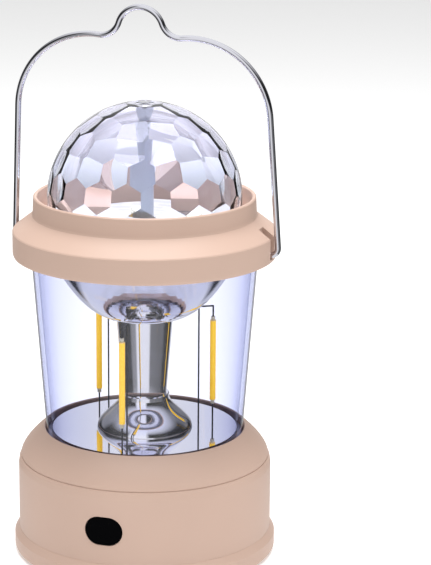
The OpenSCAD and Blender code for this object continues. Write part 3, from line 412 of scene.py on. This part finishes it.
def polyhedronCorners(poles):
    # every triangle of the hull of the poles is one corner v of the solid: pole . v = 1 for its three poles
    shell = convexShell(poles)
    systems = np.array([[v.co[:] for v in face.verts] for face in shell.faces])
    shell.free()
    return np.linalg.solve(systems, np.ones((len(systems), 3, 1)))[:, :, 0]


def subtract(piece, tool):
    # cuts the tool's shape out of the piece, keeps the result and drops the tool
    cut = piece.modifiers.new("cut", "BOOLEAN")
    cut.operation = "DIFFERENCE"
    cut.solver = "EXACT"
    cut.object = tool
    bpy.context.view_layer.update()
    result = bpy.data.meshes.new_from_object(piece.evaluated_get(bpy.context.evaluated_depsgraph_get()))
    piece.modifiers.clear()
    old = piece.data
    piece.data = result
    bpy.data.meshes.remove(old)
    bpy.data.objects.remove(tool)


def plug(name, radius, low, high):
    # a short round rod on the Z axis, to cut with; its ends close on a ring far smaller than a hair
    pole = 1e-6
    outline = [(pole, low), (radius, low), (radius, high), (pole, high)]
    return revolvedPiece(name, outline, finishes["crystal"], dome["bossSegments"])


def crystalDome():
    d = dome
    low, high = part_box("dome")
    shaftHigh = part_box("dome_shaft")[1]
    radius = (high.x - low.x) / 2 - skin
    ballZ = high.z - (high.x - low.x) / 2
    bottom = low.z + sliver
    topR = d["bossRadius"]
    topZ = high.z - skin
    # outside: a straight skirt below the ball's middle, the ball, and the flat boss at the top
    skirt = [(radius, z) for z in np.linspace(bottom, ballZ, d["skirtRows"], endpoint=False)]
    lift = math.degrees(math.acos(topR / radius))
    ball = arcPoints((0, ballZ), radius, 0, lift, d["ballRows"])
    outline = np.concatenate([skirt, ball, [(topR - d["bossChamfer"], topZ)]])
    segments, rows = d["segments"], len(outline)
    verts = revolvedPoints(outline, segments)
    faces = gridFaces(rows, segments)
    faces.append(list(range(segments))[::-1])
    faces.append(list(range((rows - 1) * segments, rows * segments)))
    piece = meshPiece("crystalDome", verts, faces, finishes["crystal"])
    outwards(piece)
    # inside: the solid that all the facet planes enclose, cut off flat below the rim
    poles = facetPlanes(d["rows"], d["facetTurn"], radius - d["wall"])
    depth = ballZ - bottom + d["overcut"]
    poles = np.concatenate([poles, [[0, 0, -1 / depth]]])
    corners = polyhedronCorners(poles) + np.array([0, 0, ballZ])
    hollow = convexShell(corners)
    bmesh.ops.remove_doubles(hollow, verts=hollow.verts, dist=1e-5)
    bmesh.ops.dissolve_limit(hollow, angle_limit=math.radians(0.5), verts=hollow.verts, edges=hollow.edges)
    bmesh.ops.recalc_face_normals(hollow, faces=hollow.faces)
    mesh = bpy.data.meshes.new("hollow")
    hollow.to_mesh(mesh)
    hollow.free()
    tool = bpy.data.objects.new("hollow", mesh)
    bpy.context.scene.collection.objects.link(tool)
    # the boss that carries the shaft stays solid
    subtract(tool, plug("boss", topR, shaftHigh.z + skin, topZ + 1.5 * d["overcut"]))
    subtract(piece, tool)
    # a seat for the screw's head
    screwLow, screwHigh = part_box("dome_screw")
    headR = (screwHigh.x - screwLow.x) / 2 + d["seatGap"]
    subtract(piece, plug("seat", headR, topZ - d["seatDepth"], topZ + d["overcut"]))
    outwards(piece)
    # only the ball's own outside is round; the facets stay flat
    mesh = piece.data
    mesh.materials.clear()
    mesh.materials.append(finishes["crystal"])
    centres = np.zeros(len(mesh.polygons) * 3)
    mesh.polygons.foreach_get("center", centres)
    centres = centres.reshape(-1, 3)
    flat = np.hypot(centres[:, 0], centres[:, 1])
    fromBall = np.sqrt(flat ** 2 + np.maximum(0, centres[:, 2] - ballZ) ** 2)
    mesh.polygons.foreach_set("use_smooth", fromBall > radius - d["bossChamfer"])
    mesh.set_sharp_from_angle(angle=math.radians(d["sharpAngle"]))
    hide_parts("dome")
    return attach(piece, "rotor")


crystalDome()
print("dome cut")


window = {
    "wall": 2.0 * millimetre, "taper": 5.15 * millimetre, "segments": 256, "rows": 24,
    # only the outside's faces reach further out along their normal than this; the rest is inside wall and edges
    "insideBelow": 0.005,
}


def windowRadius(z):
    # the outside radius grows in a straight line from the lower edge to the upper one
    low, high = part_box("window")
    return high.x - sliver - window["taper"] * (high.z - z) / (high.z - low.z)


def windowWall():
    # a tapered tube, both radii straight between the lower edge and the upper one
    low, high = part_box("window")
    z = np.linspace(low.z + skin, high.z - skin, window["rows"])
    outer = windowRadius(z)
    outline = np.concatenate([np.stack([outer, z], -1), np.stack([outer - window["wall"], z], -1)[::-1]])
    piece = revolvedPiece("windowWall", outline, finishes["window"], window["segments"])
    piece.data.materials.append(finishes["windowInside"])
    centres = np.zeros(len(piece.data.polygons) * 3)
    normals = np.zeros(len(piece.data.polygons) * 3)
    piece.data.polygons.foreach_get("center", centres)
    piece.data.polygons.foreach_get("normal", normals)
    centres, normals = centres.reshape(-1, 3), normals.reshape(-1, 3)
    inside = (centres[:, :2] * normals[:, :2]).sum(1) < window["insideBelow"]
    piece.data.polygons.foreach_set("material_index", inside.astype(np.int32))
    softEdges(piece, 40)
    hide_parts("window")
    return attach(piece, "root")


windowWall()
print("window turned")


plate = {
    "thick": 1.2 * millimetre, "windowGap": 0.3 * millimetre, "underBevel": 0.3 * millimetre,
    "bellWallDrop": 0.2 * millimetre, "bellRows": 90, "floorRows": 14,
    "bellTopR": 9.0 * millimetre, "bellLowR": 17.7 * millimetre, "bellHigh": 12.2 * millimetre,
    "segments": 224,
}


def lowerMirror():
    # the bell: at a share u of the way down, the radius goes from its top to its low one by u * u * (3 - 2u);
    # then the flat floor out to the window; the underside lies a wall's thickness lower, and under the bell a
    # wall's thickness further in
    p = plate
    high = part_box("lower_reflector")[1]
    bellTop = high.z - skin
    floorZ = bellTop - p["bellHigh"]
    u = np.linspace(0, 1, p["bellRows"])
    bellR = p["bellTopR"] + (p["bellLowR"] - p["bellTopR"]) * u * u * (3 - 2 * u)
    bell = np.stack([bellR, bellTop - p["bellHigh"] * u], -1)
    outer = windowRadius(floorZ) - window["wall"] - p["windowGap"]
    floorR = np.linspace(bellR[-1], outer, p["floorRows"])[1:]
    floorLine = np.stack([floorR, np.full(len(floorR), floorZ)], -1)
    under = np.array([(outer, floorZ - 0.9 * p["thick"]), (outer - p["underBevel"], floorZ - p["thick"]),
                      (bellR[-1] - p["thick"], floorZ - p["thick"])])
    # upwards along the bell's inside, without its three lowest points, which crowd the corner
    inner = np.stack([bellR - p["thick"], bell[:, 1] - p["bellWallDrop"]], -1)[::-1][3:]
    outline = np.concatenate([bell, floorLine, under, inner])
    piece = revolvedPiece("lowerMirror", outline, finishes["mirror"], p["segments"])
    softEdges(piece, 35)
    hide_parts("lower_reflector")
    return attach(piece, "root")


lowerMirror()
print("mirror spun")


crease = {
    # in mm: the wall's radius and the crease's lower edge, then the hoop's depth below the wall and its size
    "wallR": 45.9, "low": 36.3, "deep": 0.2, "high": 0.5, "wide": 0.9, "bevelIn": 0.05, "bevelUp": 0.1,
}


def creaseBead():
    # a flat hoop that closes the joint between shoulder and wall just below the surface
    c = crease
    edge = c["wallR"] - c["deep"]
    back, bevel = edge - c["wide"], edge - c["bevelIn"]
    low, high = c["low"], c["low"] + c["high"]
    outline = np.array([(back, low), (bevel, low), (edge, low + c["bevelUp"]), (edge, high - c["bevelUp"]),
                        (bevel, high), (back, high)]) * millimetre
    piece = revolvedPiece("creaseBead", outline, finishes["beigeAbs"], 192)
    softEdges(piece, 40)
    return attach(piece, "root")


creaseBead()
print("crease closed")


bail = {
    # in mm, from the pivot's middle: across and up; lean is the leg's own, in degrees
    "wireR": 1.1, "heelMid": (47.295, 2.8), "heelR": 2.8, "lean": 3.3, "shoulderMid": (18.53, 48.3),
    "shoulderR": 28.9, "dipR": 7.0, "loopMid": (0.0, 79.1), "loopR": 8.5, "pinEnd": 41.8,
    "tilt": 3.5,      # how far the handle leans to the front, in degrees
    # points round the wire, then along each stretch of it
    "sides": 24, "pinPoints": 6, "heelPoints": 14, "legPoints": 24, "shoulderPoints": 60, "dipPoints": 20,
    "loopPoints": 24,
}


def tubePiece(name, path, radius, sides, material):
    # a circle carried along the path: point + radius * (side * cos t + up * sin t), square to the path's
    # direction, each end closed by one flat face
    path = np.asarray(path, float)
    along = np.gradient(path, axis=0)
    along /= np.linalg.norm(along, axis=1, keepdims=True)
    side = np.cross(path[1] - path[0], path[len(path) // 3] - path[0])
    side /= np.linalg.norm(side)
    up = np.cross(side, along)
    up /= np.linalg.norm(up, axis=1, keepdims=True)
    turn = np.linspace(0, 2 * np.pi, sides, endpoint=False)
    ring = side * np.cos(turn)[None, :, None] + up[:, None, :] * np.sin(turn)[None, :, None]
    verts = (path[:, None, :] + radius * ring).reshape(-1, 3)
    faces = gridFaces(len(path), sides)
    faces.append(list(range(sides))[::-1])
    faces.append(list(range((len(path) - 1) * sides, len(path) * sides)))
    piece = meshPiece(name, verts, faces, material)
    outwards(piece)
    softEdges(piece, 60)
    return piece


def bailWire():
    # tangent arcs in one plane: heel, leaning leg, shoulder, dip and finger loop, mirrored, then tilted on
    # the pivot: x stays, y = -up * sin lean, z = up * cos lean
    b = bail
    shoulder, loop = np.array(b["shoulderMid"]), np.array(b["loopMid"])
    gap = np.linalg.norm(loop - shoulder)
    fromShoulder, fromLoop = b["shoulderR"] + b["dipR"], b["loopR"] + b["dipR"]
    share = (gap ** 2 + fromShoulder ** 2 - fromLoop ** 2) / (2 * gap)
    across = (loop - shoulder) / gap
    side = np.array([-across[1], across[0]])
    rise = math.sqrt(fromShoulder ** 2 - share ** 2)
    options = [shoulder + across * share + side * rise, shoulder + across * share - side * rise]
    dip = max(options, key=lambda p: p[1])
    shoulderEnd = math.degrees(math.atan2(dip[1] - shoulder[1], dip[0] - shoulder[0]))
    loopEnd = math.degrees(math.atan2(dip[1] - loop[1], dip[0] - loop[0]))
    half = np.concatenate([
        np.linspace((b["pinEnd"], 0), (b["heelMid"][0], 0), b["pinPoints"], endpoint=False),
        arcPoints(b["heelMid"], b["heelR"], -90, b["lean"], b["heelPoints"]),
        arcPoints(shoulder, b["shoulderR"], b["lean"], shoulderEnd, b["shoulderPoints"]),
        arcPoints(dip, b["dipR"], shoulderEnd + 180, loopEnd + 180, b["dipPoints"])[1:],
        arcPoints(loop, b["loopR"], loopEnd, 90, b["loopPoints"])[1:],
    ])
    # the leg is straight, so it gets evenly spaced points too
    legAt = b["pinPoints"] + b["heelPoints"]
    leg = np.linspace(half[legAt - 1], half[legAt], b["legPoints"] + 2)[1:-1]
    half = np.concatenate([half[:legAt], leg, half[legAt:]])
    flat = np.concatenate([half, (half * [-1, 1])[::-1][1:]]) * millimetre
    pivot = next(j for j in frame["record"]["behaviour"]["joints"] if j["name"] == "bail_swing")["pos_m"]
    lean = math.radians(b["tilt"])
    across, up = flat.T
    path = np.stack([across, pivot[1] - up * math.sin(lean), pivot[2] + up * math.cos(lean)], -1)
    piece = tubePiece("bailWire", path, b["wireR"] * millimetre, b["sides"], finishes["brightWire"])
    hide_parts("bail")
    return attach(piece, "bail")


bailWire()
print("bail bent")


studioLook = {
    "floorSize": 6.0, "floorColour": "#F4F4F4", "floorGlow": 0.3,
    "background": 1.0, "room": 0.43,      # how bright the white is as seen, and as a light
    "lamps": {
        "keyLight": {"place": (0.95, -0.5, 0.7), "aim": (0, 0, 0.1), "side": 0.6, "power": 1.6},
        "topLight": {"place": (0.0, 0.0, 1.1), "aim": (0, 0.001, 0.1), "side": 0.8, "power": 14.0},
    },
    # the camera: degrees round to the right and down, metres away and up
    "cameraTurn": 18.33, "cameraDown": 14.48, "cameraReach": 0.7865, "cameraHeight": 0.3042,
    "lens": 141.8, "sensor": 36, "shiftX": 0.1253,
    # the tent of cards: its outline (r, z), the heights where one ring of cards turns into the next,
    # the pale ground close to the lantern with its two radii, and the ceiling
    "tentOutline": [(0.0525, 0.0008), (0.115, 0.0008), (0.14, 0.0008), (0.45, 0.0008), (0.5, 0.05),
                    (0.5, 0.11), (0.5, 0.42), (0.5, 0.6), (0.4, 0.8), (0.001, 0.85)],
    "levels": [(0.022, 0.034), (0.11, 0.15), (0.38, 0.78)],
    "nearTone": 0.98, "nearRadii": (0.14, 0.115), "ceilingTone": 1.1,
    # what the bright metal mirrors, by turn from the camera in degrees (0 is the camera's side):
    # on the ground, along the horizon and higher up
    "groundCards": [(-180, 0.8), (-146, 0.7), (-138, 0.04), (-66, 0.05), (-56, 0.3), (-40, 0.35), (-33, 1.0),
                    (18, 1.0), (26, 0.22), (82, 0.14), (94, 0.03), (136, 0.04), (146, 0.8), (180, 0.8)],
    "horizonCards": [(-180, 0.95), (-175, 0.95), (-172, 0.3), (-152, 0.22), (-140, 0.03), (-66, 0.05),
                     (-56, 0.3), (-40, 0.35), (-33, 1.0), (18, 1.0), (26, 0.22), (82, 0.14), (94, 0.03),
                     (142, 0.03), (154, 0.25), (171, 0.4), (174, 0.95), (180, 0.95)],
    "highCards": [(-180, 1.0), (-160, 1.0), (-152, 0.36), (-122, 0.28), (-108, 0.03), (-46, 0.02), (-36, 1.1),
                  (2, 1.1), (12, 0.02), (112, 0.03), (124, 0.2), (152, 0.26), (160, 1.0), (180, 1.0)],
}


def floorPiece():
    # pale matt paper that glows a little, which lightens its far end, where little lamp light falls
    half = studioLook["floorSize"] / 2
    verts = [(-half, -half, 0), (half, -half, 0), (half, half, 0), (-half, half, 0)]
    material, tree = startMaterial("palePaper")
    shader = addNode(tree, "ShaderNodeBsdfPrincipled",
                     {"Base Color": linearColour(studioLook["floorColour"]), "Roughness": 0.9,
                      "Emission Color": (1, 1, 1, 1), "Emission Strength": studioLook["floorGlow"]})
    finishMaterial(tree, shader)
    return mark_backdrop(meshPiece("floor", verts, [(0, 1, 2, 3)], material))


def reflectedCards():
    # the white and black cards round a chrome subject, as one tent that only mirrored rays meet
    material, tree = startMaterial("studioCards")
    place = addNode(tree, "ShaderNodeTexCoord")
    cameraTurn = math.radians(studioLook["cameraTurn"])
    turned = addNode(tree, "ShaderNodeMapping", {"Rotation": (0, 0, -cameraTurn)},
                     {"Vector": (place, "Object")})
    parts = addNode(tree, "ShaderNodeSeparateXYZ", links={"Vector": (turned, "Vector")})
    back = addNode(tree, "ShaderNodeMath", {"operation": "MULTIPLY", 1: -1.0}, {0: (parts, "Y")})
    angle = addNode(tree, "ShaderNodeMath", {"operation": "ARCTAN2"}, {0: (parts, "X"), 1: (back, "Value")})
    share = addNode(tree, "ShaderNodeMapRange", {"From Min": -math.pi, "From Max": math.pi},
                    {"Value": (angle, "Value")})
    tones = []
    for cards in (studioLook["groundCards"], studioLook["horizonCards"], studioLook["highCards"]):
        ramp = addNode(tree, "ShaderNodeValToRGB", links={"Fac": (share, "Result")})
        while len(ramp.color_ramp.elements) < len(cards):
            ramp.color_ramp.elements.new(0.5)
        for stop, (at, tone) in zip(ramp.color_ramp.elements, cards):
            stop.position, stop.color = (at + 180) / 360, (tone, tone, tone, 1)
        tones.append(ramp)
    flat = addNode(tree, "ShaderNodeVectorMath", {"operation": "MULTIPLY", 1: (1.0, 1.0, 0.0)},
                   {0: (place, "Object")})
    away = addNode(tree, "ShaderNodeVectorMath", {"operation": "LENGTH"}, {0: (flat, "Vector")})
    nearOut, nearIn = studioLook["nearRadii"]
    near = addNode(tree, "ShaderNodeMapRange", {"From Min": nearOut, "From Max": nearIn},
                   {"Value": (away, "Value")})
    nearTone, ceilingTone = studioLook["nearTone"], studioLook["ceilingTone"]
    whole = addNode(tree, "ShaderNodeMix", {"data_type": "RGBA", 7: (nearTone, nearTone, nearTone, 1)},
                    {0: (near, "Result"), 6: (tones[0], "Color")})
    ceiling = addNode(tree, "ShaderNodeRGB")
    ceiling.outputs[0].default_value = (ceilingTone, ceilingTone, ceilingTone, 1)
    for (low, high), upper in zip(studioLook["levels"], (tones[1], tones[2], ceiling)):
        rise = addNode(tree, "ShaderNodeMapRange", {"From Min": low, "From Max": high},
                       {"Value": (parts, "Z")})
        whole = addNode(tree, "ShaderNodeMix", {"data_type": "RGBA"},
                        {0: (rise, "Result"), 6: (whole, 2), 7: (upper, "Color")})
    shine = addNode(tree, "ShaderNodeEmission", links={"Color": (whole, 2)})
    finishMaterial(tree, shine, "Emission")
    outline = studioLook["tentOutline"]
    verts = revolvedPoints(outline, 96)
    tent = meshPiece("reflectedCards", verts, gridFaces(len(outline), 96), material)
    tent.visible_camera = tent.visible_diffuse = tent.visible_transmission = tent.visible_shadow = False
    material.cycles.emission_sampling = "NONE"
    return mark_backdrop(tent)


def softbox(name, place, aim, side, power):
    # a square lamp turned to face its aim
    lamp = bpy.data.lights.new(name, "AREA")
    lamp.shape = "RECTANGLE"
    lamp.size = lamp.size_y = side
    lamp.energy = power
    item = bpy.data.objects.new(name, lamp)
    item.location = place
    direction = np.array(aim) - np.array(place)
    item.rotation_euler = (math.atan2(math.hypot(direction[0], direction[1]), -direction[2]), 0,
                           math.atan2(direction[1], direction[0]) - math.pi / 2)
    item.visible_camera = False
    bpy.context.scene.collection.objects.link(item)


def studio():
    floorPiece()
    reflectedCards()
    world = bpy.data.worlds.new("studio")
    world.use_nodes = True
    tree = world.node_tree
    tree.nodes.clear()
    # white paper behind the object and through the clear parts, a dimmer room as the light on it
    path = addNode(tree, "ShaderNodeLightPath")
    seen = addNode(tree, "ShaderNodeMath", {"operation": "MAXIMUM"},
                   {0: (path, "Is Camera Ray"), 1: (path, "Is Transmission Ray")})
    strength = addNode(tree, "ShaderNodeMapRange",
                       {"To Min": studioLook["room"], "To Max": studioLook["background"]},
                       {"Value": (seen, "Value")})
    sky = addNode(tree, "ShaderNodeBackground", {"Color": (1, 1, 1, 1)}, {"Strength": (strength, "Result")})
    output = addNode(tree, "ShaderNodeOutputWorld")
    tree.links.new(sky.outputs["Background"], output.inputs["Surface"])
    bpy.context.scene.world = world
    for name, lamp in studioLook["lamps"].items():
        softbox(name, **lamp)
    bpy.context.scene.view_settings.view_transform = "Standard"


def frontCamera():
    look = studioLook
    turn = math.radians(look["cameraTurn"])
    eye = bpy.data.cameras.new("camera")
    eye.sensor_width, eye.lens, eye.shift_x = look["sensor"], look["lens"], look["shiftX"]
    item = bpy.data.objects.new("camera", eye)
    reach = look["cameraReach"]
    item.location = (reach * math.sin(turn), -reach * math.cos(turn), look["cameraHeight"])
    item.rotation_euler = (math.radians(90 - look["cameraDown"]), 0, turn)
    bpy.context.scene.collection.objects.link(item)
    bpy.context.scene.camera = item


studio()
frontCamera()
print("studio ready")
